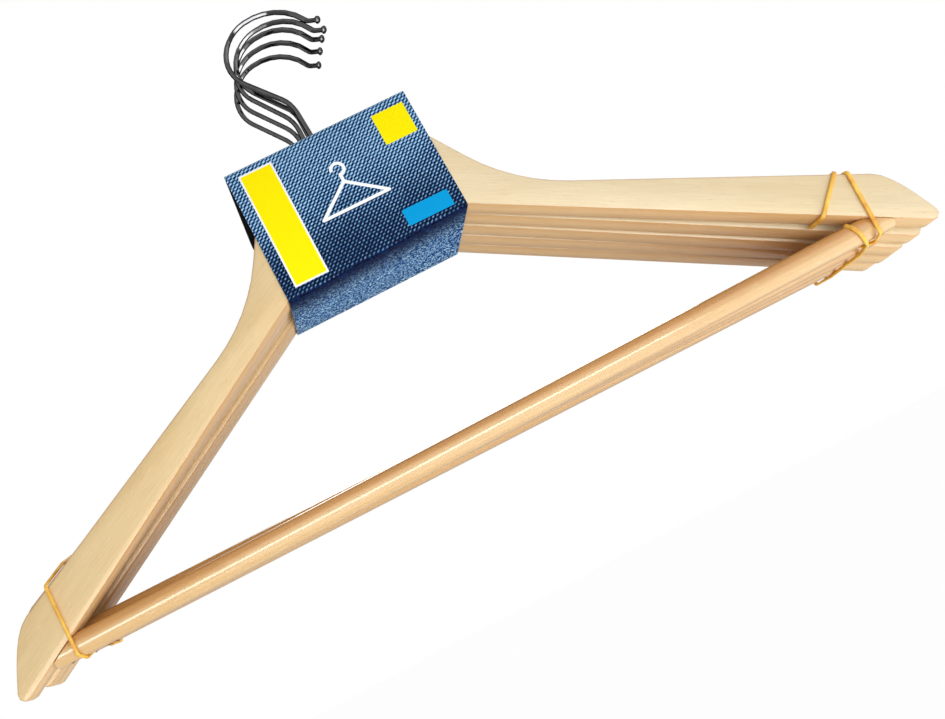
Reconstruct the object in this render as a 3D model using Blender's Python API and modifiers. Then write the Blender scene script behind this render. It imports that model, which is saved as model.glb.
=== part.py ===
"""Five wooden clothes hangers with trouser bars, bundled as they are sold: a folded card sleeve
holds the necks together and two rubber bands hold the ends.

Sizes are in metres. x runs along the bars, y through the stack from front to back, z points up.
Heights are measured from the rail seat, the top of the inside of the middle hanger's hook.
"""

import math

import bmesh
import bpy
from mathutils import Matrix, Vector
from mathutils.geometry import interpolate_bezier

# The stack
HANGER_COUNT = 5
BOARD = 0.011
STACK_GAP = 0.0003
SHIFT_ALONG = (0.0010, 0.0014, 0.0, 0.0007, -0.0005)
SHIFT_UP = (-0.0023, -0.0006, 0.0, -0.0009, -0.0002)
SWING = (0.83, 0.0, -0.26, 0.0, 0.08)

# One wooden shoulder piece
SPAN = 0.4436
APEX_DROP = 0.1071
UNDERSIDE_ANGLE = math.radians(30.6)
SHOULDER_ANGLE = math.radians(27.25)
NOSE_LENGTH = 0.0195
NOSE_DEPTH = 0.0237
NOSE_FALL = math.radians(66.0)
NOSE_SHOULDER = 0.0092
NOSE_CHEEK = 0.0045
TIP_RADIUS = 0.003
NECK_DROP = 0.0827
NECK_HALF_WIDTH = 0.0355
NECK_ANGLE = math.radians(59.2)
NECK_CORNER = 0.004
NECK_SWEEP = 0.085
LAND_HALF_WIDTH = 0.013
LAND_SWEEP = 0.020
EDGE_ROUND = 0.0012

# The finger joint that glues the two arms together
TONGUES = 3
TONGUE_REACH = 0.006
TONGUE_TIP = 0.0022
GLUE_LINE = 0.0003

# The hook, a wire that turns in the neck
WIRE = 0.0025
BORE_CLEARANCE = 0.00035
HOOK_OFFSET = -0.0020
STEM_BEND = 0.0180
LEAN_ANGLE = math.radians(32.6)
BACK_SWEEP = 0.0193
CROWN_RADIUS = 0.0167
FRONT_SWEEP = 0.0266
FRONT_ANGLE = math.radians(67.4)
END_BEND = 0.0046
END_ANGLE = math.radians(37.8)
END_LENGTH = 0.0024
END_THINNING = 0.90
BALL = 0.0038
BALL_LENGTH = 0.0028

# No two hooks were bent quite alike: their heights, how far each is turned, and how it leans
HOOK_RISE = (-0.0018, -0.0015, 0.0, 0.0010, 0.0008)
HOOK_TURN = (-12.5, -16.5, -18.3, -18.2, -17.1)
HOOK_LEAN = (-1.9, 0.9, 1.6, -0.3, -0.6)
HOOK_NOD = (1.7, 1.55, 0.07, -1.55, -1.7)

# What keeps the hook in the neck
COUNTERBORE = 0.0090
COUNTERBORE_DEPTH = 0.0052
WASHER = 0.0082
WASHER_THICKNESS = 0.0008
SEAT_GAP = 0.00025
RIVET_HEAD = 0.0042
RIVET_HEIGHT = 0.0015

# The trouser bar and the brads that hold it
BAR = 0.0106
BAR_INSET = 0.0256
BAR_TIP = 0.0028
BAR_SIDES = 20
BAR_GAP = 0.0003
BRAD = 0.0012
BRAD_CLEARANCE = 0.0003
BRAD_HEAD = 0.0026
BRAD_HEAD_THICKNESS = 0.0005
BRAD_BITE = 0.0110
BRAD_SINK = 0.0004

# The card sleeve
CARD = 0.0005
CARD_GAP = 0.0003
SLEEVE_WIDTH = 0.0890
SLEEVE_SHIFT = -0.0010
SLEEVE_FRONT_RISE = 0.0094
CARD_FOLD = 0.0012
HOOK_SLOT = 0.0080
SLOT_MARGIN = 0.0030

# The rubber bands, and how far in from the tips of the arms their strands lie
BAND = 0.0016
BAND_GAP = 0.0003
BAND_BEND = 0.0016
LEFT_BAND_OUTER = 0.0346
LEFT_BAND_INNER = 0.0459
RIGHT_BAND_OUTER = 0.0263
RIGHT_BAND_TOP = 0.0311
RIGHT_BAND_FOOT = 0.0294
RIGHT_BAND_CAUGHT = 0.0288
RIGHT_BAND_INNER = 0.0465

MERGE = 0.00001


def hanger_depth(index):
    """The middle plane of a hanger, counted from the front, with the middle hanger at y = 0.

    A band is caught between the first two, so they stand further apart than the others."""
    gaps = [BAND + 2 * BAND_GAP] + [STACK_GAP] * (HANGER_COUNT - 2)
    places = [0.0]
    for gap in gaps:
        places.append(places[-1] + BOARD + gap)
    return places[index] - places[HANGER_COUNT // 2]


FRONT = hanger_depth(0) - BOARD / 2
BACK = hanger_depth(HANGER_COUNT - 1) + BOARD / 2
LAND_DROP = APEX_DROP + LAND_HALF_WIDTH * math.tan(UNDERSIDE_ANGLE)
SWING_PIVOT = Vector((0.0, 0.0, -(NECK_DROP + LAND_DROP) / 2))
BAR_END = SPAN / 2 - BAR_INSET
BAR_DROP = APEX_DROP + BAR_END * math.tan(UNDERSIDE_ANGLE)


def underside(x):
    """Height of an arm's straight lower edge."""
    return -APEX_DROP - abs(x) * math.tan(UNDERSIDE_ANGLE)


def shoulder(x):
    """Height of an arm's straight upper edge."""
    nose_start = SPAN / 2 - NOSE_LENGTH
    rise = (nose_start - abs(x)) * math.tan(SHOULDER_ANGLE)
    return underside(nose_start) + NOSE_DEPTH + rise


def wood_frame(index):
    """Where a hanger's wood stands: shifted in the stack and swung about the middle of its bore."""
    place = Vector((SHIFT_ALONG[index], hanger_depth(index), SHIFT_UP[index]))
    swing = Matrix.Rotation(-math.radians(SWING[index]), 4, "Y")
    return Matrix.Translation(place + SWING_PIVOT) @ swing @ Matrix.Translation(-SWING_PIVOT)


def edge_height(index, edge, x):
    """Height of one of a hanger's straight edges at x, with the hanger in its place."""
    side = math.copysign(1.0, x)
    inner = wood_frame(index) @ Vector((side * SPAN / 8, 0.0, edge(side * SPAN / 8)))
    outer = wood_frame(index) @ Vector((side * SPAN / 2, 0.0, edge(side * SPAN / 2)))
    return inner.z + (outer.z - inner.z) * (x - inner.x) / (outer.x - inner.x)


def lower_bar(x):
    """Height of the lowest line of a trouser bar."""
    return -BAR_DROP - BAR / 2


def fillet(before, corner, after, radius, steps):
    """Points of the arc that rounds a corner between two straight lines."""
    u = (before - corner).normalized()
    v = (after - corner).normalized()
    half = u.angle(v) / 2
    start = corner + u * radius / math.tan(half)
    centre = corner + (u + v).normalized() * radius / math.sin(half)
    sweep = math.pi - 2 * half
    arc = []
    for step in range(steps + 1):
        turn = sweep * step / steps
        arc.append(centre + (start - centre) * math.cos(turn) - u * radius * math.sin(turn))
    return arc


def offset_path(points, distance):
    """A path beside another, at a distance to its left, with mitred corners."""
    moved = []
    for index, point in enumerate(points):
        sides = []
        if index > 0:
            sides.append((point - points[index - 1]).normalized())
        if index < len(points) - 1:
            sides.append((points[index + 1] - point).normalized())
        normals = [Vector((-side.y, side.x)) for side in sides]
        mitre = sum(normals, Vector((0.0, 0.0))).normalized()
        moved.append(point + mitre * distance / mitre.dot(normals[0]))
    return moved


def tongues():
    """The zigzag of the finger joint, from the top of the neck down to the land."""
    flanks = 2 * TONGUES
    height = LAND_DROP - NECK_DROP
    run = (height - (flanks + 1) * TONGUE_TIP) / flanks
    points = []
    for flank in range(flanks + 1):
        x = TONGUE_REACH if flank % 2 == 0 else -TONGUE_REACH
        top = -NECK_DROP - flank * (TONGUE_TIP + run)
        points.append(Vector((x, top)))
        points.append(Vector((x, top - TONGUE_TIP)))
    return points


def shoulder_outline():
    """The right arm's outline from the top of the neck, over the tip, to the land below."""
    nose_start = SPAN / 2 - NOSE_LENGTH
    tip = SPAN / 2
    neck_top = Vector((NECK_HALF_WIDTH, -NECK_DROP))
    gap = shoulder(0.0) + NECK_DROP - NECK_HALF_WIDTH * math.tan(NECK_ANGLE)
    root_x = -gap / (math.tan(NECK_ANGLE) - math.tan(SHOULDER_ANGLE))
    root = Vector((root_x, shoulder(root_x)))
    start = Vector((nose_start, shoulder(nose_start)))
    corner = Vector((tip, underside(tip)))
    land = Vector((LAND_HALF_WIDTH, -LAND_DROP))

    outline = fillet(Vector((0.0, -NECK_DROP)), neck_top, root, NECK_CORNER, 3)
    outline += fillet(neck_top, root, start, NECK_SWEEP, 6)
    cheek = Vector((-math.cos(NOSE_FALL), math.sin(NOSE_FALL)))
    along = Vector((math.cos(SHOULDER_ANGLE), -math.sin(SHOULDER_ANGLE)))
    tip_arc = fillet(corner + cheek, corner, land, TIP_RADIUS, 3)
    first_handle = start + along * NOSE_SHOULDER
    last_handle = tip_arc[0] + cheek * NOSE_CHEEK
    outline += interpolate_bezier(start, first_handle, last_handle, tip_arc[0], 8)[:-1]
    outline += tip_arc
    outline += fillet(corner, land, Vector((0.0, -LAND_DROP)), LAND_SWEEP, 4)
    return outline


def material(name, colour, roughness, metallic):
    """A plain material in the piece's main colour."""
    made = bpy.data.materials.get(name) or bpy.data.materials.new(name)
    made.use_nodes = True
    shader = made.node_tree.nodes["Principled BSDF"]
    shader.inputs["Base Color"].default_value = (*colour, 1.0)
    shader.inputs["Roughness"].default_value = roughness
    shader.inputs["Metallic"].default_value = metallic
    return made


def place(obj, parent, finish=None, location=(0.0, 0.0, 0.0), tilt=0.0):
    """Links an object to the parts, or to the cutters where it has no finish."""
    if finish is None:
        cutters.objects.link(obj)
        obj.hide_render = True
        obj.display_type = "WIRE"
    else:
        parts.objects.link(obj)
        obj.data.materials.append(finish)
    obj.parent = parent
    obj.location = location
    obj.rotation_euler = (0.0, tilt, 0.0)
    return obj


def empty(name, parent, location, tilt=0.0):
    obj = bpy.data.objects.new(name, None)
    parts.objects.link(obj)
    obj.empty_display_size = 0.01
    obj.parent = parent
    obj.location = location
    obj.rotation_euler = (0.0, tilt, 0.0)
    return obj


def cut(obj, cutter):
    boolean = obj.modifiers.new(cutter.name, "BOOLEAN")
    boolean.operation = "DIFFERENCE"
    boolean.object = cutter


def smooth(obj):
    obj.data.shade_smooth()
    obj.data.set_sharp_from_angle(angle=math.radians(35.0))


def mesh_from_curve(name, curve):
    """Turns a curve's evaluated shape into a welded mesh without the curve."""
    guide = bpy.data.objects.new(name + "_curve", curve)
    parts.objects.link(guide)
    evaluated = guide.evaluated_get(bpy.context.evaluated_depsgraph_get())
    mesh = bpy.data.meshes.new_from_object(evaluated)
    mesh.name = name
    shape = bmesh.new()
    shape.from_mesh(mesh)
    bmesh.ops.remove_doubles(shape, verts=shape.verts, dist=MERGE)
    flat = math.radians(0.5)
    bmesh.ops.dissolve_limit(shape, angle_limit=flat, verts=shape.verts, edges=shape.edges)
    shape.to_mesh(mesh)
    shape.free()
    bpy.data.objects.remove(guide)
    bpy.data.curves.remove(curve)
    return mesh


def outline_mesh(name, points, thickness, filled=True):
    """A flat outline made solid, or its wall alone, standing in the x-z plane."""
    curve = bpy.data.curves.new(name, "CURVE")
    curve.dimensions = "2D"
    curve.fill_mode = "BOTH" if filled else "NONE"
    curve.extrude = thickness / 2
    spline = curve.splines.new("POLY")
    spline.points.add(len(points) - 1)
    for target, point in zip(spline.points, points):
        target.co = (point.x, point.y, 0.0, 1.0)
    spline.use_cyclic_u = True
    mesh = mesh_from_curve(name, curve)
    mesh.transform(Matrix.Rotation(math.pi / 2, 4, "X"))
    return mesh


def turned(name, profile, steps):
    """A turned piece: its profile runs down the outer side, from the top to the bottom."""
    mesh = bpy.data.meshes.new(name)
    closed = profile[0] == profile[-1]
    points = profile[:-1] if closed else profile
    edges = [(index, index + 1) for index in range(len(points) - 1)]
    if closed:
        edges.append((len(points) - 1, 0))
    mesh.from_pydata([(radius, 0.0, height) for radius, height in points], edges, [])
    obj = bpy.data.objects.new(name, mesh)
    screw = obj.modifiers.new("turn", "SCREW")
    screw.steps = steps
    screw.render_steps = steps
    screw.use_merge_vertices = True
    screw.merge_threshold = MERGE
    return obj


def tube(name, path, thickness, parent, finish, closed=False, sides=2):
    """A wire along a path of points and their share of the wire's radius."""
    curve = bpy.data.curves.new(name, "CURVE")
    curve.dimensions = "3D"
    curve.bevel_depth = thickness / 2
    curve.bevel_resolution = sides
    curve.use_fill_caps = not closed
    spline = curve.splines.new("POLY")
    spline.points.add(len(path) - 1)
    for target, (point, share) in zip(spline.points, path):
        target.co = (*point, 1.0)
        target.radius = share
    spline.use_cyclic_u = closed
    spline.use_smooth = True
    return place(bpy.data.objects.new(name, curve), parent, finish)


def arm(name, side, wood, finish, cutters_used):
    """One arm, sawn from board along its grain, its end fingered into the other arm."""
    outline = [Vector((side * point.x, point.y)) for point in shoulder_outline()]
    joint = offset_path(tongues(), side * GLUE_LINE / 2)
    mesh = outline_mesh(name, outline + joint[::-1], BOARD)
    shape = bmesh.new()
    shape.from_mesh(mesh)
    weight = shape.edges.layers.float.new("bevel_weight_edge")
    joint_zone = TONGUE_REACH + GLUE_LINE
    for edge in shape.edges:
        a, b = edge.verts[0].co, edge.verts[1].co
        on_face = abs(a.y - b.y) < MERGE
        in_joint = abs(a.x) < joint_zone and abs(b.x) < joint_zone
        edge[weight] = 1.0 if on_face and not in_joint else 0.0
    shape.to_mesh(mesh)
    shape.free()
    obj = place(bpy.data.objects.new(name, mesh), wood, finish)
    rounding = obj.modifiers.new("rounded edges", "BEVEL")
    rounding.limit_method = "WEIGHT"
    rounding.width = EDGE_ROUND
    rounding.segments = 2
    for cutter in cutters_used:
        cut(obj, cutter)
    smooth(obj)
    return obj


def stem_bore(index, wood):
    """The cutter for the bore down the middle of the neck and the counterbore under it."""
    bore = WIRE / 2 + BORE_CLEARANCE
    over = 0.002
    shelf = -LAND_DROP + COUNTERBORE_DEPTH
    profile = [
        (0.0, -NECK_DROP + over),
        (bore, -NECK_DROP + over),
        (bore, shelf),
        (COUNTERBORE / 2, shelf),
        (COUNTERBORE / 2, -LAND_DROP - over),
        (0.0, -LAND_DROP - over),
    ]
    bore_axis = (HOOK_OFFSET, 0.0, 0.0)
    return place(turned("hanger_%d_stem_bore" % index, profile, 16), wood, None, bore_axis)


def washer_top():
    return -LAND_DROP + COUNTERBORE_DEPTH - SEAT_GAP


def washer(index, wood):
    inner = WIRE / 2 + BORE_CLEARANCE
    top = washer_top()
    bottom = top - WASHER_THICKNESS
    profile = [(inner, top), (WASHER / 2, top), (WASHER / 2, bottom), (inner, bottom), (inner, top)]
    bore_axis = (HOOK_OFFSET, 0.0, 0.0)
    return place(turned("hanger_%d_washer" % index, profile, 14), wood, zinc, bore_axis)


def brad_levels():
    """Heights along a brad, from the face where the bar meets the arm: head, seat and point."""
    through_bar = BAR / 2 / math.cos(UNDERSIDE_ANGLE)
    head_face = -through_bar + BRAD_SINK
    return head_face, head_face + BRAD_HEAD_THICKNESS, BRAD_BITE


def brad_hole(index, side_name, side, wood):
    head_face, seat, point = brad_levels()
    shank = BRAD / 2 + BRAD_CLEARANCE
    head = BRAD_HEAD / 2 + BRAD_CLEARANCE
    profile = [
        (0.0, point + BRAD_CLEARANCE),
        (shank, point + BRAD_CLEARANCE),
        (shank, seat + BRAD_CLEARANCE),
        (head, seat + BRAD_CLEARANCE),
        (head, head_face - BAR),
        (0.0, head_face - BAR),
    ]
    obj = turned("hanger_%d_%s_brad_hole" % (index, side_name), profile, 10)
    return place(obj, wood, None, (side * BAR_END, 0.0, -BAR_DROP), side * UNDERSIDE_ANGLE)


def brad(index, side_name, side, wood):
    head_face, seat, point = brad_levels()
    profile = [
        (0.0, point),
        (BRAD / 2, point - BRAD),
        (BRAD / 2, seat),
        (BRAD_HEAD / 2, seat),
        (BRAD_HEAD / 2, head_face),
        (0.0, head_face),
    ]
    obj = turned("hanger_%d_%s_brad" % (index, side_name), profile, 8)
    return place(obj, wood, steel, (side * BAR_END, 0.0, -BAR_DROP), side * UNDERSIDE_ANGLE)


def trouser_bar(index, wood, cutters_used):
    """A dowel whose ends are cut on the slope of the arms' undersides, below which they sit.

    The thin end that such a cut leaves would splinter, so it is sawn off square."""
    name = "hanger_%d_bar" % index
    shape = bmesh.new()
    lying = Matrix.Rotation(math.pi / 2, 4, "Y")
    bmesh.ops.create_cone(shape, cap_ends=True, segments=BAR_SIDES, radius1=BAR / 2,
                          radius2=BAR / 2, depth=SPAN, matrix=lying)
    for side in (-1.0, 1.0):
        outward = Vector((side, 0.0, 0.0))
        normal = Vector((side * math.sin(UNDERSIDE_ANGLE), 0.0, math.cos(UNDERSIDE_ANGLE)))
        seat = outward * BAR_END - normal * BAR_GAP
        reach = (seat.z + BAR / 2 - BAR_TIP) / math.tan(UNDERSIDE_ANGLE)
        for place_cut, facing in ((seat, normal), (seat + outward * reach, outward)):
            everything = shape.verts[:] + shape.edges[:] + shape.faces[:]
            sawn = bmesh.ops.bisect_plane(shape, geom=everything, plane_co=place_cut,
                                          plane_no=facing, clear_outer=True)
            rim = [item for item in sawn["geom_cut"] if isinstance(item, bmesh.types.BMEdge)]
            bmesh.ops.edgeloop_fill(shape, edges=rim)
    bmesh.ops.recalc_face_normals(shape, faces=shape.faces)
    mesh = bpy.data.meshes.new(name)
    shape.to_mesh(mesh)
    shape.free()
    obj = place(bpy.data.objects.new(name, mesh), wood, bar_wood, (0.0, 0.0, -BAR_DROP))
    for cutter in cutters_used:
        cut(obj, cutter)
    smooth(obj)
    return obj


def hook_bend(index):
    """How the wire above the neck is turned about its stem and leans away from it."""
    lean = Matrix.Rotation(math.radians(HOOK_LEAN[index]), 4, "Y")
    turn = Matrix.Rotation(math.radians(HOOK_TURN[index]), 4, "Z")
    nod = Matrix.Rotation(-math.radians(HOOK_NOD[index]), 4, "X")
    neck = Vector((0.0, 0.0, -NECK_DROP))
    return Matrix.Translation(neck) @ nod @ turn @ lean @ Matrix.Translation(-neck)


def hook_path(index):
    """The hook's middle line, from the rivet head at the foot of its stem to the ball at its end."""
    thin = END_THINNING
    rivet_top = washer_top() - WASHER_THICKNESS - SEAT_GAP
    head = RIVET_HEAD / WIRE
    foot = rivet_top - RIVET_HEIGHT
    path = [((0.0, foot), 0.5 * head), ((0.0, foot + 0.15 * RIVET_HEIGHT), 0.85 * head)]
    path += [((0.0, foot + 0.45 * RIVET_HEIGHT), head), ((0.0, rivet_top - 0.00005), head)]
    path += [((0.0, rivet_top), 1.0), ((0.0, -NECK_DROP), 1.0)]
    stem = len(path)

    lean = math.sin(LEAN_ANGLE)
    sway = 1.0 - math.cos(LEAN_ANGLE)
    straight = (CROWN_RADIUS - (STEM_BEND + BACK_SWEEP) * sway) / lean
    rise = (STEM_BEND + BACK_SWEEP) * lean + straight * math.cos(LEAN_ANGLE) + CROWN_RADIUS
    point = Vector((0.0, WIRE / 2 - rise + HOOK_RISE[index]))
    heading = math.pi / 2
    path.append((tuple(point), 1.0))

    bends = [
        (STEM_BEND, LEAN_ANGLE, 4, straight),
        (BACK_SWEEP, -LEAN_ANGLE, 4, 0.0),
        (CROWN_RADIUS, -math.pi / 2, 9, 0.0),
        (FRONT_SWEEP, -FRONT_ANGLE, 6, 0.0),
        (END_BEND, END_ANGLE, 4, END_LENGTH),
    ]
    for number, (radius, angle, steps, run) in enumerate(bends):
        last = number == len(bends) - 1
        for step in range(steps):
            heading += angle / steps / 2
            chord = 2 * radius * math.sin(abs(angle) / steps / 2)
            point = point + Vector((math.cos(heading), math.sin(heading))) * chord
            heading += angle / steps / 2
            share = 1.0 - (1.0 - thin) * (step + 1) / steps if last else 1.0
            path.append((tuple(point), share))
        if run > 0.0:
            point = point + Vector((math.cos(heading), math.sin(heading))) * run
            path.append((tuple(point), thin if last else 1.0))

    ahead = Vector((math.cos(heading), math.sin(heading)))
    for turn in (40.0, 65.0, 90.0, 115.0, 140.0, 165.0):
        along = BALL_LENGTH / 2 * (math.cos(math.radians(40.0)) - math.cos(math.radians(turn)))
        share = BALL / WIRE * math.sin(math.radians(turn))
        path.append((tuple(point + ahead * (along + 0.0002)), share))
    bend = hook_bend(index)
    spots = [Vector((x, 0.0, z)) for (x, z), share in path]
    spots = spots[:stem] + [bend @ spot for spot in spots[stem:]]
    return [(tuple(spot), share) for spot, (_, share) in zip(spots, path)]


def hanger(index):
    """One hanger: a turning hook on its own pivot, and the wood on a frame that may swing."""
    number = index + 1
    front_place = (SHIFT_ALONG[index] + HOOK_OFFSET, hanger_depth(index), SHIFT_UP[index])
    pivot = empty("hanger_%d_hook_axis" % number, None, front_place)
    wood = empty("hanger_%d_wood" % number, pivot, (0.0, 0.0, 0.0))
    wood.matrix_local = pivot.matrix_basis.inverted() @ wood_frame(index)
    tube("hanger_%d_hook" % number, hook_path(index), WIRE, pivot, chrome)

    bore = stem_bore(number, wood)
    left_hole = brad_hole(number, "left", -1.0, wood)
    right_hole = brad_hole(number, "right", 1.0, wood)
    arm("hanger_%d_left_arm" % number, -1.0, wood, arm_wood, (bore, left_hole))
    arm("hanger_%d_right_arm" % number, 1.0, wood, arm_wood, (bore, right_hole))
    washer(number, wood)
    trouser_bar(number, wood, (left_hole, right_hole))
    brad(number, "left", -1.0, wood)
    brad(number, "right", 1.0, wood)


def stretched(edge, side, away, reach, x_front, x_back, settled):
    """Where something taut touches, front to back: over the arms (1) or under them (-1).

    It keeps a distance away from them. It runs from x_front at the front to x_back at the depth
    where it has settled. Each arm or bar is touched over its reach to either side of its middle."""
    lift = side * away / math.cos(UNDERSIDE_ANGLE)
    depths = [(0, FRONT - away)]
    for index in range(HANGER_COUNT):
        depths.append((index, hanger_depth(index) - reach))
        depths.append((index, hanger_depth(index) + reach))
    depths.append((HANGER_COUNT - 1, BACK + away))
    touched = []
    for index, y in depths:
        share = min(1.0, (y - FRONT + away) / (settled - FRONT + away))
        x = x_front + (x_back - x_front) * share
        point = Vector((x, y, edge_height(index, edge, x) + lift))
        while len(touched) > 1:
            last = touched[-1] - touched[-2]
            onward = point - touched[-1]
            if side * (last.y * onward.z - last.z * onward.y) < 0.0:
                break
            touched.pop()
        touched.append(point)
    return touched


def height_on(points, y):
    """Height at depth y of a line through points listed from front to back."""
    for near, far in zip(points, points[1:]):
        if y <= far.y:
            return near.z + (far.z - near.z) * (y - near.y) / (far.y - near.y)
    return points[-1].z


def sleeve_section(x):
    """The card's middle line round the necks at x: up the front, over, down the back and under."""
    clear = CARD_GAP + CARD / 2
    front = FRONT - clear
    back = BACK + clear
    floor = stretched(underside, -1.0, clear, BOARD / 2, x, x, BACK)
    under = []
    for index in reversed(range(HANGER_COUNT - 1)):
        for y in (hanger_depth(index + 1) - BOARD / 2, hanger_depth(index) + BOARD / 2):
            under.append(Vector((x, y, height_on(floor, y))))
    roof = max(SHIFT_UP) - NECK_DROP + clear
    corners = [floor[0], Vector((x, front, roof + SLEEVE_FRONT_RISE)),
               Vector((x, back, roof)), floor[-1]]
    line = []
    for number, corner in enumerate(corners):
        before = under[-1] if number == 0 else corners[number - 1]
        after = under[0] if number == 3 else corners[(number + 1) % 4]
        line += fillet(before, corner, after, CARD_FOLD, 3)
    return line + under


def sleeve():
    """A folded card band round the five necks, with a slot in its roof for the hooks."""
    left = sleeve_section(SLEEVE_SHIFT - SLEEVE_WIDTH / 2)
    right = sleeve_section(SLEEVE_SHIFT + SLEEVE_WIDTH / 2)
    count = len(left)
    faces = []
    for near in range(count):
        far = (near + 1) % count
        faces.append((near, far, far + count, near + count))
    mesh = bpy.data.meshes.new("card_sleeve")
    mesh.from_pydata([tuple(point) for point in left + right], [], faces)
    obj = place(bpy.data.objects.new("card_sleeve", mesh), None, card)
    skin = obj.modifiers.new("card thickness", "SOLIDIFY")
    skin.thickness = CARD
    skin.offset = 0.0
    skin.use_even_offset = True

    slot_depth = BACK - FRONT - 2 * SLOT_MARGIN
    mesh = bpy.data.meshes.new("hook_slot")
    shape = bmesh.new()
    size = Matrix.Diagonal((HOOK_SLOT, slot_depth, SLEEVE_FRONT_RISE + 2 * CARD_FOLD, 1.0))
    bmesh.ops.create_cube(shape, size=1.0, matrix=size)
    shape.to_mesh(mesh)
    shape.free()
    roof = max(SHIFT_UP) - NECK_DROP + CARD_GAP + SLEEVE_FRONT_RISE / 2
    middle = (HOOK_OFFSET, (FRONT + BACK) / 2, roof)
    slot = place(bpy.data.objects.new("hook_slot", mesh), None, None, middle)
    cut(obj, slot)
    return obj


def band_path(corners):
    """A closed loop through its corners, the sharper ones rounded by the band's own stiffness."""
    path = []
    for number, corner in enumerate(corners):
        before = corners[number - 1]
        after = corners[(number + 1) % len(corners)]
        if (corner - before).angle(after - corner) > math.radians(30.0):
            path += fillet(before, corner, after, BAND_BEND, 3)
        else:
            path.append(corner)
    return [(point, 1.0) for point in path]


def left_band():
    """One turn round the left ends, drawn slantwise over the top of the first arm."""
    away = BAND / 2 + BAND_GAP
    inner = LEFT_BAND_INNER - SPAN / 2
    outer = LEFT_BAND_OUTER - SPAN / 2
    behind_first = hanger_depth(0) + BOARD / 2
    top = stretched(shoulder, 1.0, away, BOARD / 2, outer, inner, behind_first)
    foot = stretched(lower_bar, -1.0, away, BAR / 4, outer, outer, BACK)
    return tube("rubber_band_left", band_path(foot + top[::-1]), BAND, None, rubber, True, 1)


def right_band():
    """Two turns: one round all the right ends, one caught between the first two hangers."""
    away = BAND / 2 + BAND_GAP
    lift = away / math.cos(UNDERSIDE_ANGLE)
    front = FRONT - away
    gap = hanger_depth(0) + BOARD / 2 + away
    foot_x = SPAN / 2 - RIGHT_BAND_FOOT
    foot = stretched(lower_bar, -1.0, away, BAR / 4, foot_x, foot_x, BACK)
    top_x = SPAN / 2 - RIGHT_BAND_TOP
    top = stretched(shoulder, 1.0, away, BOARD / 2, top_x, foot_x, BACK)
    inner = SPAN / 2 - RIGHT_BAND_INNER
    inner_foot = edge_height(0, underside, inner) - lift
    caught = SPAN / 2 - RIGHT_BAND_CAUGHT
    caught_top = edge_height(0, shoulder, caught) + lift
    outer = SPAN / 2 - RIGHT_BAND_OUTER
    outer_top = edge_height(0, shoulder, outer) + lift
    second_turn = [
        Vector((inner, front, inner_foot)),
        Vector((inner, gap, inner_foot)),
        Vector((caught, gap, caught_top)),
        Vector((outer, front, outer_top)),
    ]
    path = band_path(foot + top[::-1] + second_turn)
    return tube("rubber_band_right", path, BAND, None, rubber, True, 1)


for leftover in list(bpy.data.objects):
    bpy.data.objects.remove(leftover)

parts = bpy.data.collections.new("clothes_hanger_pack")
cutters = bpy.data.collections.new("cutters")
bpy.context.scene.collection.children.link(parts)
bpy.context.scene.collection.children.link(cutters)

arm_wood = material("arm_wood", (0.84, 0.68, 0.42), 0.38, 0.0)
bar_wood = material("bar_wood", (0.86, 0.66, 0.36), 0.30, 0.0)
chrome = material("hook_chrome", (0.30, 0.30, 0.31), 0.12, 1.0)
zinc = material("washer_zinc", (0.55, 0.55, 0.56), 0.35, 1.0)
steel = material("brad_steel", (0.42, 0.42, 0.43), 0.40, 1.0)
card = material("sleeve_card", (0.10, 0.20, 0.40), 0.60, 0.0)
rubber = material("band_rubber", (0.80, 0.52, 0.08), 0.45, 0.0)

for hanger_index in range(HANGER_COUNT):
    hanger(hanger_index)
sleeve()
left_band()
right_band()
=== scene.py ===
# %% [markdown]
# # Five wooden clothes hangers in a card sleeve
#
# The model is a bundle of five flat wooden hangers. Their necks go through one folded card
# sleeve with a denim print, and two rubber bands hold their ends. The solids come from a packed
# CAD model, which this lesson loads as a fixed frame. What is left to do in Blender is what makes
# such a bundle look real: lacquered wood with its grain along every arm, dark polished hooks,
# a printed card, and bands that lie over the wood.

# %% Load the packed model
import math

import bmesh
import bpy
from mathutils import Matrix, Vector

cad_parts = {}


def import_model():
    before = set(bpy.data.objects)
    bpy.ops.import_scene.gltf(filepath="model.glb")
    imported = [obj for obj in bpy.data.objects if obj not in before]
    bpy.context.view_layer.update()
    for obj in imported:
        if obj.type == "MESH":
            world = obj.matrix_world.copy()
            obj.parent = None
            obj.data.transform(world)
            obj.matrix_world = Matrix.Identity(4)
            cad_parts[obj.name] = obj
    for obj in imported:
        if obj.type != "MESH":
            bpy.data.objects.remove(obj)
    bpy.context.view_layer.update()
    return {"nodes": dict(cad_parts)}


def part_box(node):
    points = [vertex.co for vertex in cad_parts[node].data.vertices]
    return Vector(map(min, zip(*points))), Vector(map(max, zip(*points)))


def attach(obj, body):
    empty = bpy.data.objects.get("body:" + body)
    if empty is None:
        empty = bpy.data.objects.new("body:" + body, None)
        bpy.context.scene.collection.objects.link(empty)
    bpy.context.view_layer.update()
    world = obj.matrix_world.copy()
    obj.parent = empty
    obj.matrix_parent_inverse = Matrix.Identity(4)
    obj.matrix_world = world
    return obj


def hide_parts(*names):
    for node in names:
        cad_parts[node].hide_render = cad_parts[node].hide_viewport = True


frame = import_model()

nodes = frame["nodes"]

HANGERS = 5
MM = 0.001

# %% [markdown]
# ## The camera
#
# The photo looks at the bundle from in front, a little from the left and from below, and it was
# turned in the picture until the bars rise to the right. A camera in Blender looks along its own
# -Z axis with +Y up in the picture, so its rotation is built from three unit vectors: where it
# looks, what is right and what is up. The small shift stands for a photo that was cropped.

# %% Camera
PHOTO_WIDTH = 945
FOCAL_PIXELS = 937.43
SENSOR = 36.0


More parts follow.
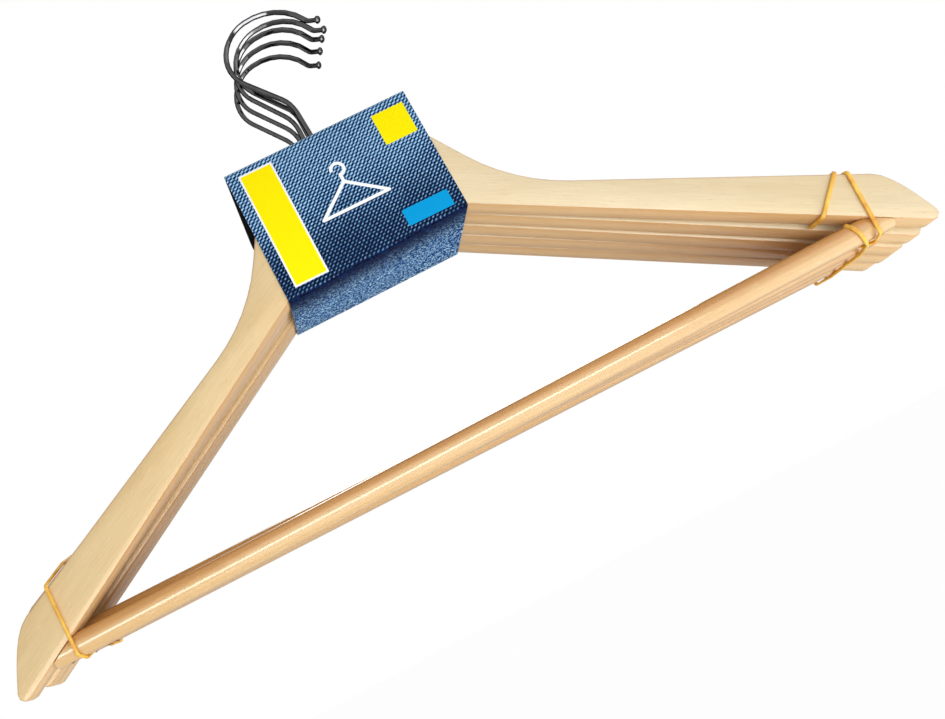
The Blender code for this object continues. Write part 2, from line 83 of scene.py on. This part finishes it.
def camera_like_photo(place, yaw, pitch, roll, shift_x, shift_y):
    """A camera at a place, turned by yaw about +Z, lifted by pitch and rolled about its view."""
    look = Vector((math.sin(yaw) * math.cos(pitch), math.cos(yaw) * math.cos(pitch),
                   math.sin(pitch)))
    level = Vector((math.cos(yaw), -math.sin(yaw), 0.0))
    above = level.cross(look)
    right = level * math.cos(roll) + above * math.sin(roll)
    up = above * math.cos(roll) - level * math.sin(roll)
    data = bpy.data.cameras.new("camera")
    data.sensor_width = SENSOR
    data.lens = FOCAL_PIXELS / PHOTO_WIDTH * SENSOR
    data.shift_x = shift_x
    data.shift_y = shift_y
    data.clip_start = 0.01
    camera = bpy.data.objects.new("camera", data)
    bpy.context.scene.collection.objects.link(camera)
    camera.matrix_world = Matrix((
        (right.x, up.x, -look.x, place[0]),
        (right.y, up.y, -look.y, place[1]),
        (right.z, up.z, -look.z, place[2]),
        (0.0, 0.0, 0.0, 1.0)))
    bpy.context.scene.camera = camera


camera_like_photo(place=(-0.068987, -0.413878, -0.274075), yaw=0.060765, pitch=0.180320,
                  roll=-0.479304, shift_x=0.121036, shift_y=0.081175)
print("lens in mm:", round(bpy.context.scene.camera.data.lens, 2))

# %% [markdown]
# ## Shader maths as plain Python
#
# A node material is a net of boxes, and a formula drawn with boxes is hard to read. A small class
# that stands for an output socket can overload + - * / and then a formula is one line of Python:
# every operator adds its own Math node. The reflected forms make 1 - mask work as well.

# %% Signal
class Signal:
    """An output socket that takes part in sums and products."""

    def __init__(self, finish, socket):
        self.finish = finish
        self.socket = socket

    def math(self, operation, *values):
        sockets = dict(enumerate(values))
        return self.finish.node("ShaderNodeMath", {"operation": operation}, sockets)

    def __add__(self, other):
        return self.math("ADD", self, other)

    def __sub__(self, other):
        return self.math("SUBTRACT", self, other)

    def __rsub__(self, other):
        return self.math("SUBTRACT", other, self)

    def __mul__(self, other):
        return self.math("MULTIPLY", self, other)

    def __truediv__(self, other):
        return self.math("DIVIDE", self, other)

    def __rtruediv__(self, other):
        return self.math("DIVIDE", other, self)

    def __neg__(self):
        return self.math("MULTIPLY", self, -1.0)

    def __abs__(self):
        return self.math("ABSOLUTE", self)

    __radd__ = __add__
    __rmul__ = __mul__

    def sine(self):
        return self.math("SINE", self)

    def smaller(self, other):
        return self.math("MINIMUM", self, other)

    def larger(self, other):
        return self.math("MAXIMUM", self, other)

    def root(self):
        return self.math("SQRT", self)

    def step(self, low, high):
        """0 below low, 1 above high, smooth between them; falls instead where low > high."""
        return self.finish.node("ShaderNodeMapRange", {"interpolation_type": "SMOOTHSTEP"},
                                {"Value": self, "From Min": low, "From Max": high})


print("reflected operators:", [name for name in vars(Signal) if name.startswith("__r")])

# %% [markdown]
# ## Nets and finishes
#
# All other nodes come from one method, so that each use reads the same way: the node's type, its
# settings, and what goes into its sockets. A finish is such a net inside a material. It starts
# with each point's place and the direction that the surface faces there, because all the patterns
# of this lesson follow from those two.

# %% Net, Finish and rgb
class Net:
    """A net of shader nodes, of a material or of the world."""

    def __init__(self, tree):
        self.tree = tree

    def node(self, kind, settings, sockets, output=0):
        """Adds a node, first its settings, then its sockets' values or links."""
        made = self.tree.nodes.new(kind)
        for name, value in settings.items():
            if name == "stops":
                ramp = made.color_ramp
                while len(ramp.elements) < len(value):
                    ramp.elements.new(0.5)
                for element, (at, colour) in zip(ramp.elements, value):
                    element.position = at
                    element.color = (*colour, 1.0)
            else:
                setattr(made, name, value)
        for key, value in sockets.items():
            self.feed(made.inputs[key], value)
        if len(made.outputs) > 0:
            return Signal(self, made.outputs[output])

    def feed(self, socket, value):
        if isinstance(value, Signal):
            self.tree.links.new(value.socket, socket)
        elif socket.type == "RGBA" and len(value) == 3:
            socket.default_value = (*value, 1.0)
        else:
            socket.default_value = value

    def split(self, vector):
        made = self.node("ShaderNodeSeparateXYZ", {}, {0: vector}).socket.node
        return [Signal(self, made.outputs[axis]) for axis in range(3)]

    def join(self, x, y, z):
        return self.node("ShaderNodeCombineXYZ", {}, {0: x, 1: y, 2: z})

    def mix(self, share, first, second, blend="MIX"):
        """Two colours mixed through a Mix node, which keeps them coloured."""
        settings = {"data_type": "RGBA", "blend_type": blend}
        return self.node("ShaderNodeMix", settings, {0: share, 6: first, 7: second}, 2)

    def noise(self, vector, scale, detail, roughness=0.5):
        sockets = {"Vector": vector, "Scale": scale, "Detail": detail, "Roughness": roughness}
        return self.node("ShaderNodeTexNoise", {}, sockets)

    def ramp(self, share, *stops):
        return self.node("ShaderNodeValToRGB", {"stops": stops}, {0: share})

    def bump(self, height, depth, strength):
        sockets = {"Strength": strength, "Distance": depth, "Height": height}
        return self.node("ShaderNodeBump", {}, sockets)


class Finish(Net):
    """One node material, with the place and the direction of each point of the surface."""

    def __init__(self, name):
        self.material = bpy.data.materials.new(name)
        self.material.use_nodes = True
        super().__init__(self.material.node_tree)
        self.shader = self.tree.nodes["Principled BSDF"]
        self.place = self.node("ShaderNodeTexCoord", {}, {}, "Object")
        self.x, self.y, self.z = self.split(self.place)
        self.nx, self.ny, self.nz = self.split(self.node("ShaderNodeTexCoord", {}, {}, "Normal"))

    def use(self, **sockets):
        """Feeds the Principled shader; an underscore in a name stands for a space."""
        for name, value in sockets.items():
            self.feed(self.shader.inputs[name.replace("_", " ")], value)
        return self.material


def rgb(red, green, blue):
    """A colour read off a picture, 0 to 255, turned into the linear values that shaders use."""
    linear = []
    for part in (red / 255, green / 255, blue / 255):
        linear.append(part / 12.92 if part <= 0.04045 else ((part + 0.055) / 1.055) ** 2.4)
    return tuple(linear)


WHITE = (1.0, 1.0, 1.0)
print("mid grey in linear light:", [round(v, 3) for v in rgb(128, 128, 128)])

# %% [markdown]
# ## Smooth faces on frame pieces
#
# The packed solids arrive as loose triangles with flat normals. A frame piece's mesh may not be
# changed, but a Weld modifier joins the triangles on the fly, and smooth faces then shade the
# rounded edges softly. Edges that are really sharp, such as saw cuts, are marked sharp first, by
# comparing the normals of the triangles that meet there.

# %% Weld and smooth
SHARP_ANGLE = math.radians(35.0)
MICROMETRE = 1e-6


def key(point):
    """A corner's place in whole micrometres, so that the loose triangles' corners match."""
    return tuple(round(c * 1e6) for c in point)


def soften(obj):
    """Shades a piece smooth, apart from edges whose faces meet at more than the sharp angle."""
    mesh = obj.data
    if "custom_normal" in mesh.attributes:
        mesh.attributes.remove(mesh.attributes["custom_normal"])
    meetings = {}
    for face in mesh.polygons:
        for edge in face.edge_keys:
            ends = frozenset(key(mesh.vertices[v].co) for v in edge)
            meetings.setdefault(ends, []).append(face.normal)
    limit = math.cos(SHARP_ANGLE)
    for edge in mesh.edges:
        ends = frozenset(key(mesh.vertices[v].co) for v in edge.vertices)
        normals = meetings[ends]
        edge.use_edge_sharp = len(normals) != 2 or normals[0].dot(normals[1]) < limit
    mesh.polygons.foreach_set("use_smooth", [True] * len(mesh.polygons))
    weld = obj.modifiers.new("welded", "WELD")
    weld.merge_threshold = MICROMETRE


for obj in nodes.values():
    soften(obj)
print("smooth pieces:", len(nodes))

# %% [markdown]
# ## Wood
#
# The arms are sawn from pale, close-grained board with the grain along each arm, and then
# dipped in clear lacquer. Grain is a matter of directions: fine noise that is stretched 25
# times along the arm looks like fibre. So each arm gets its own coordinates, one along its slope
# and one across it. The lacquer collects on the rounded edges, which look a bit more amber, and
# the sawn narrow sides look warmer than the planed faces. Rounded edges that face upward are
# painted a deeper amber still, as shade. All of this follows from the direction that the surface
# faces, so it needs no painted map. The trouser bars are turned dowels under a glossier lacquer.
# Their upper side, and where they are seen at a slant, is painted a deeper honey tone as shade.
# A clear coat over the wood makes the gloss: its own sharp highlight lies on top of the soft
# light of the wood. The colours were set against one photo and keep some of its shade: the left
# arms are a bit darker than the right ones, and the four inner bars browner than the front one.

# %% Wood finish
ARM_SLOPE = math.radians(29.0)
FACES = {"left": rgb(226, 199, 150), "right": rgb(231, 213, 176)}
SIDES = {"left": rgb(230, 194, 142), "right": rgb(234, 198, 144)}
DOWEL = rgb(216, 179, 124)
INNER_DOWEL = rgb(208, 164, 104)
AMBER = rgb(176, 112, 56)
# Painted shade: a honey tone that deepens the bars' upper and slanting sides.
HONEY_SHADE = rgb(241, 205, 144)
SAPWOOD = rgb(252, 240, 214)
FRONT_BAR_TOP_SHADE = 0.85
INNER_BAR_TOP_SHADE = 0.4


def wood_finish(name, slope, seed, face, side, edge=0.22, top_shade=0.0, gloss=0.25, haze=0.2):
    """Lacquered wood with its grain along a slope in the x-z plane."""
    wood = Finish(name)
    along = wood.x * math.cos(slope) + wood.z * math.sin(slope) + seed * 0.37
    across = wood.z * math.cos(slope) - wood.x * math.sin(slope) + seed * 0.11
    depth = wood.y + seed * 0.05

    def grain_noise(lengthwise, crosswise, detail, roughness=0.5):
        """Noise with so many waves per metre along the grain and across it."""
        place = wood.join(along * lengthwise, across * crosswise, depth * crosswise)
        return wood.noise(place, 1.0, detail, roughness)

    growth = grain_noise(3.0, 40.0, 3.0)
    cloud = grain_noise(14.0, 60.0, 2.0)
    fibre = grain_noise(60.0, 1500.0, 3.0, 0.6)
    fleck = grain_noise(190.0, 1300.0, 1.0)
    pore = fleck.step(0.66, 0.74)
    pale = fleck.step(0.34, 0.26)
    line = (growth * 46.0 + across * 160.0).sine() * 0.5 + 0.5

    on_side = abs(wood.ny).step(0.75, 0.25)
    on_edge = abs(wood.ny).step(0.995, 0.90) * abs(wood.ny).step(0.02, 0.3)
    colour = wood.mix(on_side, face, side)
    warm = wood.mix(cloud.step(0.35, 0.7), WHITE, (0.955, 0.925, 0.86))
    colour = wood.mix(1.0, colour, warm, "MULTIPLY")
    rings = wood.mix(line * growth.step(0.35, 0.65), WHITE, (0.975, 0.955, 0.92))
    colour = wood.mix(1.0, colour, rings, "MULTIPLY")
    grain = wood.mix(fibre.step(0.3, 0.75), (1.025, 1.025, 1.03), (0.945, 0.925, 0.885))
    colour = wood.mix(0.85, colour, grain, "MULTIPLY")
    colour = wood.mix(pore * 0.16, colour, AMBER)
    colour = wood.mix(pale * 0.2, colour, SAPWOOD)
    colour = wood.mix(on_edge * edge, colour, AMBER, "MULTIPLY")
    # Painted shade: rounded edges that face upward get a stronger amber.
    upper_edge_shade = on_edge * wood.nz.step(0.05, 0.5)
    colour = wood.mix(upper_edge_shade * edge * 3.0, colour, AMBER, "MULTIPLY")
    slant = wood.node("ShaderNodeLayerWeight", {}, {"Blend": 0.5}, "Facing")
    turned_up = slant * 0.5 + wood.nz
    # Painted shade: faces turned up or seen at a slant take a deeper honey tone.
    colour = wood.mix(turned_up.step(-0.25, 0.35) * top_shade, colour, HONEY_SHADE, "MULTIPLY")
    height = fibre * 0.6 - pore * 0.5 + cloud * 0.5
    return wood.use(
        Base_Color=colour,
        Roughness=0.36 + fibre * 0.12,
        Specular_IOR_Level=0.35,
        Coat_Weight=gloss,
        Coat_Roughness=haze,
        Normal=wood.bump(height, 0.00006, 0.6))


for number in range(1, HANGERS + 1):
    for side, slope in (("left", ARM_SLOPE), ("right", -ARM_SLOPE)):
        arm = nodes["hanger_%d_%s_arm" % (number, side)]
        seed = number * 3 + (side == "left")
        arm.material_slots[0].material = wood_finish(arm.name + "_wood", slope, seed,
                                                     FACES[side], SIDES[side])
    bar = nodes["hanger_%d_bar" % number]
    tone, top_shade = (DOWEL, FRONT_BAR_TOP_SHADE) if number == 1 else (INNER_DOWEL, INNER_BAR_TOP_SHADE)
    bar.material_slots[0].material = wood_finish(bar.name + "_wood", 0.0, 40 + number * 3,
                                                 tone, tone, edge=0.0, top_shade=top_shade,
                                                 gloss=1.0, haze=0.07)
print("wood finishes:", HANGERS * 3)

# %% [markdown]
# ## Metal
#
# The hooks are bent from wire and plated. A polished metal shows little but its surroundings:
# here a white room, of which the plating gives back only a part. Its dark base colour is a
# painted reflection of dark surroundings, and it is painted darker still towards the wire's
# edges as shade. So the wire looks dark grey, with a white streak where it mirrors a long lamp.
# The washers are plain zinc, and the brads in the bars' ends are dull brass.

# %% Hooks, washers and brads
def plated_finish():
    """Polished plating: a painted dark reflection, painted darker at the edges as shade."""
    metal = Finish("dark_plating")
    haze = metal.noise(metal.place, 260.0, 3.0, 0.6)
    # Painted reflection: the dark base colour stands in for dark surroundings mirrored in the
    # wire.
    colour = metal.ramp(haze, (0.3, (0.08, 0.08, 0.082)), (0.7, (0.12, 0.12, 0.124)))
    slant = metal.node("ShaderNodeLayerWeight", {}, {"Blend": 0.5}, "Facing")
    # Painted shade: the colour turns nearly black where the wire is seen at a slant.
    colour = metal.mix(slant.step(0.12, 0.6), colour, (0.012, 0.012, 0.013))
    return metal.use(
        Base_Color=colour,
        Metallic=1.0,
        Roughness=haze.step(0.3, 0.8) * 0.05 + 0.05,
        Specular_Tint=(0.3, 0.3, 0.31, 1.0),
        Normal=metal.bump(metal.noise(metal.place, 900.0, 2.0), 0.00002, 0.08))


def plain_metal_finish(name, colour, roughness):
    """Dull metal with a faint cloud in its tone and its gloss."""
    metal = Finish(name)
    haze = metal.noise(metal.place, 800.0, 2.0)
    tone = metal.mix(haze, tuple(0.85 * c for c in colour), tuple(1.1 * c for c in colour))
    return metal.use(Base_Color=tone, Metallic=1.0, Roughness=haze * 0.15 + roughness)


plating = plated_finish()
zinc = plain_metal_finish("dull_zinc", (0.55, 0.55, 0.56), 0.3)
brass = plain_metal_finish("dull_brass", (0.42, 0.27, 0.12), 0.4)
for number in range(1, HANGERS + 1):
    nodes["hanger_%d_hook" % number].material_slots[0].material = plating
    nodes["hanger_%d_washer" % number].material_slots[0].material = zinc
    for side in ("left", "right"):
        nodes["hanger_%d_%s_brad" % (number, side)].material_slots[0].material = brass
print("metals:", plating.name, zinc.name, brass.name)

# %% [markdown]
# ## The card sleeve
#
# The sleeve is thin folded card. Its outside is printed with coarse denim: rows of short
# slanting stitches. Two waves that cross make such a weave: one runs in level rows, the other
# slants, and where both are high a pale stitch shows. The outside is painted darker towards the
# bottom as shade. Under the fold the print is finer, and next to the fold it is painted dark as
# shadow. Matt card hardly mirrors, so its specular level is near zero. The inside is unprinted,
# and its colour is painted dark as the shade within the sleeve. The cut edges show the pale core
# of the card. The printed shapes are plain ones: a yellow bar, a pictogram of a hanger, a tag
# and a square.

# %% Colours and sizes of the print
ROWS = 0.693 * 2 * math.pi / MM
SLANT = 0.473 * 2 * math.pi / MM
NAVY = rgb(2, 14, 42)
MID_BLUE = rgb(54, 100, 150)
PALE_BLUE = rgb(170, 212, 244)
DEEP_BLUE = rgb(0, 26, 84)
BRIGHT_BLUE = rgb(30, 116, 198)
SKY_BLUE = rgb(190, 234, 255)
YELLOW = rgb(255, 236, 0)
CYAN = rgb(0, 152, 214)
SIGN_LINE = 1.5
PRINT_BLUR = 0.06
SLEEVE_MIDDLE_DROP = 0.107

sleeve_low, sleeve_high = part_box("card_sleeve")
print("sleeve in mm:", [round(1000 * d, 1) for d in sleeve_high - sleeve_low])


# %% Printed shapes, placed in mm from the left and down from the top
def covers(distance):
    """Turns a distance from a printed line's middle into how much the line covers, 0 to 1."""
    return distance.step(SIGN_LINE / 2 + PRINT_BLUR, SIGN_LINE / 2 - PRINT_BLUR)


def stroke(across, down, start, end):
    """How much a straight printed line with round ends covers, 0 to 1."""
    run = (end[0] - start[0], end[1] - start[1])
    length2 = run[0] ** 2 + run[1] ** 2
    px = across - start[0]
    pz = down - start[1]
    share = ((px * run[0] + pz * run[1]) / length2).larger(0.0).smaller(1.0)
    dx = px - share * run[0]
    dz = pz - share * run[1]
    return covers((dx * dx + dz * dz).root())


def panel(across, down, left, right, top, bottom):
    """How much a plain rectangle covers, 0 to 1."""
    after_left = across.step(left - PRINT_BLUR, left + PRINT_BLUR)
    before_right = across.step(right + PRINT_BLUR, right - PRINT_BLUR)
    below_top = down.step(top - PRINT_BLUR, top + PRINT_BLUR)
    above_bottom = down.step(bottom + PRINT_BLUR, bottom - PRINT_BLUR)
    return after_left * before_right * below_top * above_bottom


def hanger_sign(across, down):
    """How much a line drawing of a hanger covers: three strokes, a neck and an open ring."""
    peak, neck_top = (46.0, 27.0), (46.0, 23.4)
    left_end, right_end = (30.0, 39.5), (62.0, 39.5)
    sign = stroke(across, down, peak, left_end)
    for start, end in ((peak, right_end), (left_end, right_end), (peak, neck_top)):
        sign = sign.larger(stroke(across, down, start, end))
    ring_x = across - 46.0
    ring_z = down - 20.6
    ring = covers(abs((ring_x * ring_x + ring_z * ring_z).root() - 2.9))
    gap = ring_x.step(0.1, -0.1) * ring_z.step(-0.1, 0.1)
    return sign.larger(ring * (1.0 - gap))


print("line of the hanger sign in mm:", SIGN_LINE)


# %% Denim print
def denim_finish():
    """Printed denim outside, an inside painted dark as shade, and pale cut edges."""
    card = Finish("denim_card")
    across = (card.x - sleeve_low.x) / MM
    down = (sleeve_high.z - card.z) / MM
    wobble = card.noise(card.place, 420.0, 2.0)
    drift = card.noise(card.place, 60.0, 2.0)
    around = -card.z - card.y
    rows = (around * ROWS + (wobble - 0.5) * 3.0).sine()
    slant = (card.x * SLANT + around * SLANT + (wobble - 0.5) * 3.0).sine()
    speck = card.noise(card.place, 1500.0, 2.0, 0.7)
    stitch = slant * 0.36 + rows * 0.26 + 0.5 + (speck - 0.5) * 0.8
    # Painted shade: the outside print darkens towards the bottom.
    downward_shade = down.step(16.0, 66.0)
    stitch = stitch - downward_shade * 0.46 + (drift - 0.5) * 0.2
    coarse = card.ramp(stitch, (0.12, NAVY), (0.5, MID_BLUE), (0.9, PALE_BLUE))

    fine = card.noise(card.place, 1000.0, 1.0, 0.6)
    finest = card.ramp(fine.step(0.36, 0.68), (0.0, DEEP_BLUE), (0.5, BRIGHT_BLUE),
                       (1.0, SKY_BLUE))
    # Painted shadow: the fine print turns dark blue next to the fold.
    fold_shadow = card.y.step(sleeve_low.y + 0.034, sleeve_low.y + 0.002)
    fine_blue_and_shadow = card.mix(fold_shadow, finest, (0.0, 0.03, 0.1), "MULTIPLY")

    outward = card.ny * card.y + card.nz * (card.z + SLEEVE_MIDDLE_DROP)
    outside = outward.step(-0.001, 0.001)
    below = (-card.nz).step(0.5, 0.8)
    colour = card.mix(below, coarse, fine_blue_and_shadow)

    front = (-card.ny).step(0.5, 0.8)
    white_edge = panel(across, down, 5.4, 21.6, 3.6, 61.2)
    bar = panel(across, down, 6.2, 20.8, 4.4, 60.4)
    square = panel(across, down, 70.5, 86.0, 5.0, 20.5)
    tag = panel(across, down, 62.0, 84.0, 51.0, 59.0)
    colour = card.mix(white_edge * front, colour, rgb(244, 246, 248))
    colour = card.mix(bar * front, colour, YELLOW)
    colour = card.mix(square * front, colour, YELLOW)
    colour = card.mix(tag * front, colour, CYAN)
    colour = card.mix(hanger_sign(across, down) * front, colour, rgb(248, 250, 252))

    # Painted shade: the inside is coloured dark grey for the shade within the sleeve.
    inside = card.mix(wobble * 0.3, rgb(24, 26, 30), rgb(46, 50, 56))
    colour = card.mix(outside, inside, colour)
    cut_edge = abs(card.nx).step(0.6, 0.8)
    colour = card.mix(cut_edge, colour, rgb(176, 182, 190))
    relief = stitch * outside
    return card.use(
        Base_Color=colour,
        Roughness=0.46 + fine * 0.1,
        Specular_IOR_Level=0.05,
        Normal=card.bump(relief + fine * 0.5, 0.00003, 0.35))


nodes["card_sleeve"].material_slots[0].material = denim_finish()
print("sleeve finish:", nodes["card_sleeve"].material_slots[0].material.name)

# %% [markdown]
# ## Rubber bands
#
# A band is cut from a thin rubber tube, so its cross-section is a small rectangle with soft
# corners. It runs straight wherever nothing bends it, and turns sharply over each edge of the
# wood. So its route is a list of corners, each rounded by a short arc, and the section is swept
# along that route. What tells the flat side which way to face is the bend itself: at a corner the
# wood is always on the inside of the turn, and between two corners the direction is blended.

# %% Routes of the two bands, in mm
LEFT_ROUTE = [
    (-186.4, -30.8, -232.2), (-185.0, -24.5, -234.2), (-183.6, -17.5, -232.2),
    (-183.6, -11.3, -230.1), (-183.6, 11.3, -230.3), (-183.6, 28.9, -228.9),
    (-176.0, 28.9, -189.2), (-178.0, 5.5, -188.9), (-179.5, -5.5, -189.6),
    (-181.5, -16.8, -193.0), (-187.4, -30.8, -201.0)]
RIGHT_ROUTE = [
    (195.3, -30.8, -197.2), (193.0, -17.9, -196.1), (175.3, -17.9, -210.3),
    (175.3, -30.8, -210.3), (190.7, -30.8, -194.9), (191.0, -19.0, -195.0),
    (192.0, 28.9, -197.3), (191.4, 28.9, -229.0), (191.2, 14.0, -230.0), (191.2, -2.7, -230.0),
    (191.2, -14.0, -229.9), (189.0, -24.5, -229.1), (187.0, -28.0, -227.8),
    (185.0, -30.6, -224.0), (184.0, -30.0, -220.4), (183.8, -27.0, -217.6),
    (186.3, -22.8, -217.0), (188.2, -18.2, -218.5), (189.0, -18.0, -223.0),
    (190.2, -18.4, -228.0), (192.6, -24.5, -229.3), (192.9, -30.4, -227.9),
    (192.9, -30.8, -226.4)]
print("corners on the routes:", len(LEFT_ROUTE), len(RIGHT_ROUTE))

# %% From a route to a swept band, in mm
BAND_WIDTH = {"left": 1.4, "right": 1.8}
BAND_THICKNESS = 1.2
BAND_SIDES = 12
BAND_ROUNDING = 0.6
BEND_RADIUS = 1.7
BEND_STEP = 12.0
BEND_SHARE = 0.45
NEARLY_STRAIGHT = math.radians(4.0)


def rounded_loop(corners):
    """A closed route with each corner rounded: its points, and which way is away from the wood."""
    count = len(corners)
    points = []
    for number, corner in enumerate(corners):
        back = corners[number - 1] - corner
        ahead = corners[(number + 1) % count] - corner
        turn = math.pi - back.angle(ahead)
        away = -(back.normalized() + ahead.normalized())
        if turn < NEARLY_STRAIGHT:
            points.append((corner, None))
            continue
        cut = min(BEND_RADIUS * math.tan(turn / 2), BEND_SHARE * back.length,
                  BEND_SHARE * ahead.length)
        start = corner + back.normalized() * cut
        end = corner + ahead.normalized() * cut
        steps = max(2, round(math.degrees(turn) / BEND_STEP))
        for step in range(steps + 1):
            t = step / steps
            point = start * (1 - t) ** 2 + corner * 2 * t * (1 - t) + end * t ** 2
            points.append((point, away.normalized()))
    return points


def squarish(part):
    """A sine or cosine pushed outward, which makes a circle a rectangle with soft corners."""
    return math.copysign(abs(part) ** BAND_ROUNDING, part)


def band(name, corners, width):
    """Sweeps the band's section along a rounded route."""
    loop = rounded_loop([Vector(corner) for corner in corners])
    count = len(loop)
    known = [number for number, (_, away) in enumerate(loop) if away is not None]
    shape = bmesh.new()
    rings = []
    for number, (point, away) in enumerate(loop):
        if away is None:
            before = max([k for k in known if k < number], default=known[-1])
            after = min([k for k in known if k > number], default=known[0])
            away = loop[before][1] + loop[after][1]
        along = (loop[(number + 1) % count][0] - loop[number - 1][0]).normalized()
        away = (away - along * away.dot(along)).normalized()
        beside = along.cross(away)
        ring = []
        for step in range(BAND_SIDES):
            angle = 2 * math.pi * step / BAND_SIDES
            wide = width / 2 * squarish(math.cos(angle))
            thick = BAND_THICKNESS / 2 * squarish(math.sin(angle))
            ring.append(shape.verts.new((point + beside * wide + away * thick) * MM))
        rings.append(ring)
    for number, ring in enumerate(rings):
        following = rings[(number + 1) % count]
        for step in range(BAND_SIDES):
            beyond = (step + 1) % BAND_SIDES
            shape.faces.new((ring[step], ring[beyond], following[beyond], following[step]))
    bmesh.ops.recalc_face_normals(shape, faces=shape.faces)
    mesh = bpy.data.meshes.new(name)
    shape.to_mesh(mesh)
    shape.free()
    mesh.shade_smooth()
    obj = bpy.data.objects.new(name, mesh)
    bpy.context.scene.collection.objects.link(obj)
    print(name, "points on its route:", count)
    return obj


# %% Band finish
def rubber_finish():
    """Amber rubber, a little cloudy, with a dusty skin."""
    rubber = Finish("amber_rubber")
    cloud = rubber.noise(rubber.place, 180.0, 2.0)
    dust = rubber.noise(rubber.place, 2600.0, 2.0)
    colour = rubber.ramp(cloud, (0.3, rgb(226, 160, 44)), (0.7, rgb(250, 204, 88)))
    return rubber.use(
        Base_Color=colour,
        Roughness=0.42 + dust * 0.15,
        Subsurface_Weight=0.15,
        Subsurface_Radius=(0.002, 0.001, 0.0004),
        Normal=rubber.bump(dust, 0.00003, 0.4))


amber = rubber_finish()
for side, route in (("left", LEFT_ROUTE), ("right", RIGHT_ROUTE)):
    made = band("band_round_%s_ends" % side, route, BAND_WIDTH[side])
    made.data.materials.append(amber)
    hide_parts("rubber_band_" + side)
    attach(made, "pack")

# %% [markdown]
# ## The studio
#
# The photo has a plain white ground and soft light. The camera and mirrors see the world as plain
# white through a Light Path node, while the wood is lit by a quieter one, so a white ground costs
# no extra light on the object.

# %% World
WORLD_LIGHT = 0.48


def world():
    """White to the camera and to mirrors, and quieter to all else."""
    made = bpy.data.worlds.new("studio")
    bpy.context.scene.world = made
    made.use_nodes = True
    made.node_tree.nodes.clear()
    net = Net(made.node_tree)
    seen = net.node("ShaderNodeLightPath", {}, {}, "Is Camera Ray")
    seen = seen.larger(net.node("ShaderNodeLightPath", {}, {}, "Is Glossy Ray"))
    seen = seen.larger(net.node("ShaderNodeLightPath", {}, {}, "Is Transmission Ray"))
    quiet = net.node("ShaderNodeBackground", {}, {"Color": WHITE, "Strength": WORLD_LIGHT})
    white = net.node("ShaderNodeBackground", {}, {"Color": WHITE, "Strength": 1.0})
    both = net.node("ShaderNodeMixShader", {}, {0: seen, 1: quiet, 2: white})
    net.node("ShaderNodeOutputWorld", {}, {"Surface": both})
    return made


print("world:", world().name, "with light", WORLD_LIGHT)

# %% [markdown]
# ## Lamps
#
# A large lamp in front on the right gives the faces their even tone. A long lamp, low in front,
# draws the bright line along every hook and bar: a round wire mirrors a lamp as one thin line.
# The sheen lamp just before it is seen in mirrors only, so the line gets brighter and the wood
# does not. It has to stand in front, because a mirror shows only the nearer of two lamps. A lamp
# below lights the undersides, and one behind lights the back.

# %% Five lamps
MIDDLE = (0.0, 0.0, -0.145)


def lamp(name, place, target, size, power):
    """A flat lamp of a width and a height, aimed at a target."""
    data = bpy.data.lights.new(name, "AREA")
    data.shape = "RECTANGLE"
    data.size, data.size_y = size
    data.energy = power
    obj = bpy.data.objects.new(name, data)
    bpy.context.scene.collection.objects.link(obj)
    aim = Vector(target) - Vector(place)
    obj.location = place
    obj.rotation_euler = aim.to_track_quat("-Z", "Y").to_euler()
    obj.visible_camera = False
    return obj


lamp("key", (0.4, -1.3, 0.14), MIDDLE, (1.5, 1.0), 4.5)
lamp("front", (-0.12, -0.98, -0.67), MIDDLE, (1.5, 0.36), 3.4)
sheen = lamp("sheen", (-0.117, -0.955, -0.655), MIDDLE, (1.4, 0.32), 9.0)
sheen.visible_diffuse = False
lamp("low", (0.3, -0.3, -0.72), MIDDLE, (1.2, 0.8), 4.0)
lamp("back", (0.3, 1.2, 0.5), MIDDLE, (1.0, 1.0), 8.0)

# %% [markdown]
# ## The floor
#
# The bundle hangs free, so its floor lies well below it. The floor is matt and pale, and for the
# camera nearly all of it is a plain white glow, which keeps only a trace of its own shading.

# %% Floor and view
FLOOR_HEIGHT = -1.0
FLOOR_REACH = 12.0
FLOOR_GLOW = 0.97

mesh = bpy.data.meshes.new("floor")
corners = [(x * FLOOR_REACH, y * FLOOR_REACH, FLOOR_HEIGHT)
           for x, y in ((-1, -1), (1, -1), (1, 1), (-1, 1))]
mesh.from_pydata(corners, [], [(0, 1, 2, 3)])
floor = bpy.data.objects.new("floor", mesh)
bpy.context.scene.collection.objects.link(floor)


def floor_finish():
    """Matt and pale, with a white glow that only the camera sees."""
    ground = Finish("pale_floor")
    path = ground.node("ShaderNodeLightPath", {}, {}, "Is Camera Ray")
    glow = ground.node("ShaderNodeEmission", {}, {"Color": WHITE, "Strength": 1.0})
    ground.use(Base_Color=(0.9, 0.9, 0.9), Roughness=0.9)
    matt = Signal(ground, ground.shader.outputs[0])
    mixed = ground.node("ShaderNodeMixShader", {}, {0: path * FLOOR_GLOW, 1: matt, 2: glow})
    out = ground.tree.nodes["Material Output"]
    ground.feed(out.inputs["Surface"], mixed)
    return ground.material


floor.data.materials.append(floor_finish())
bpy.context.scene.view_settings.view_transform = "Standard"
print("floor at", FLOOR_HEIGHT, "view:", bpy.context.scene.view_settings.view_transform)
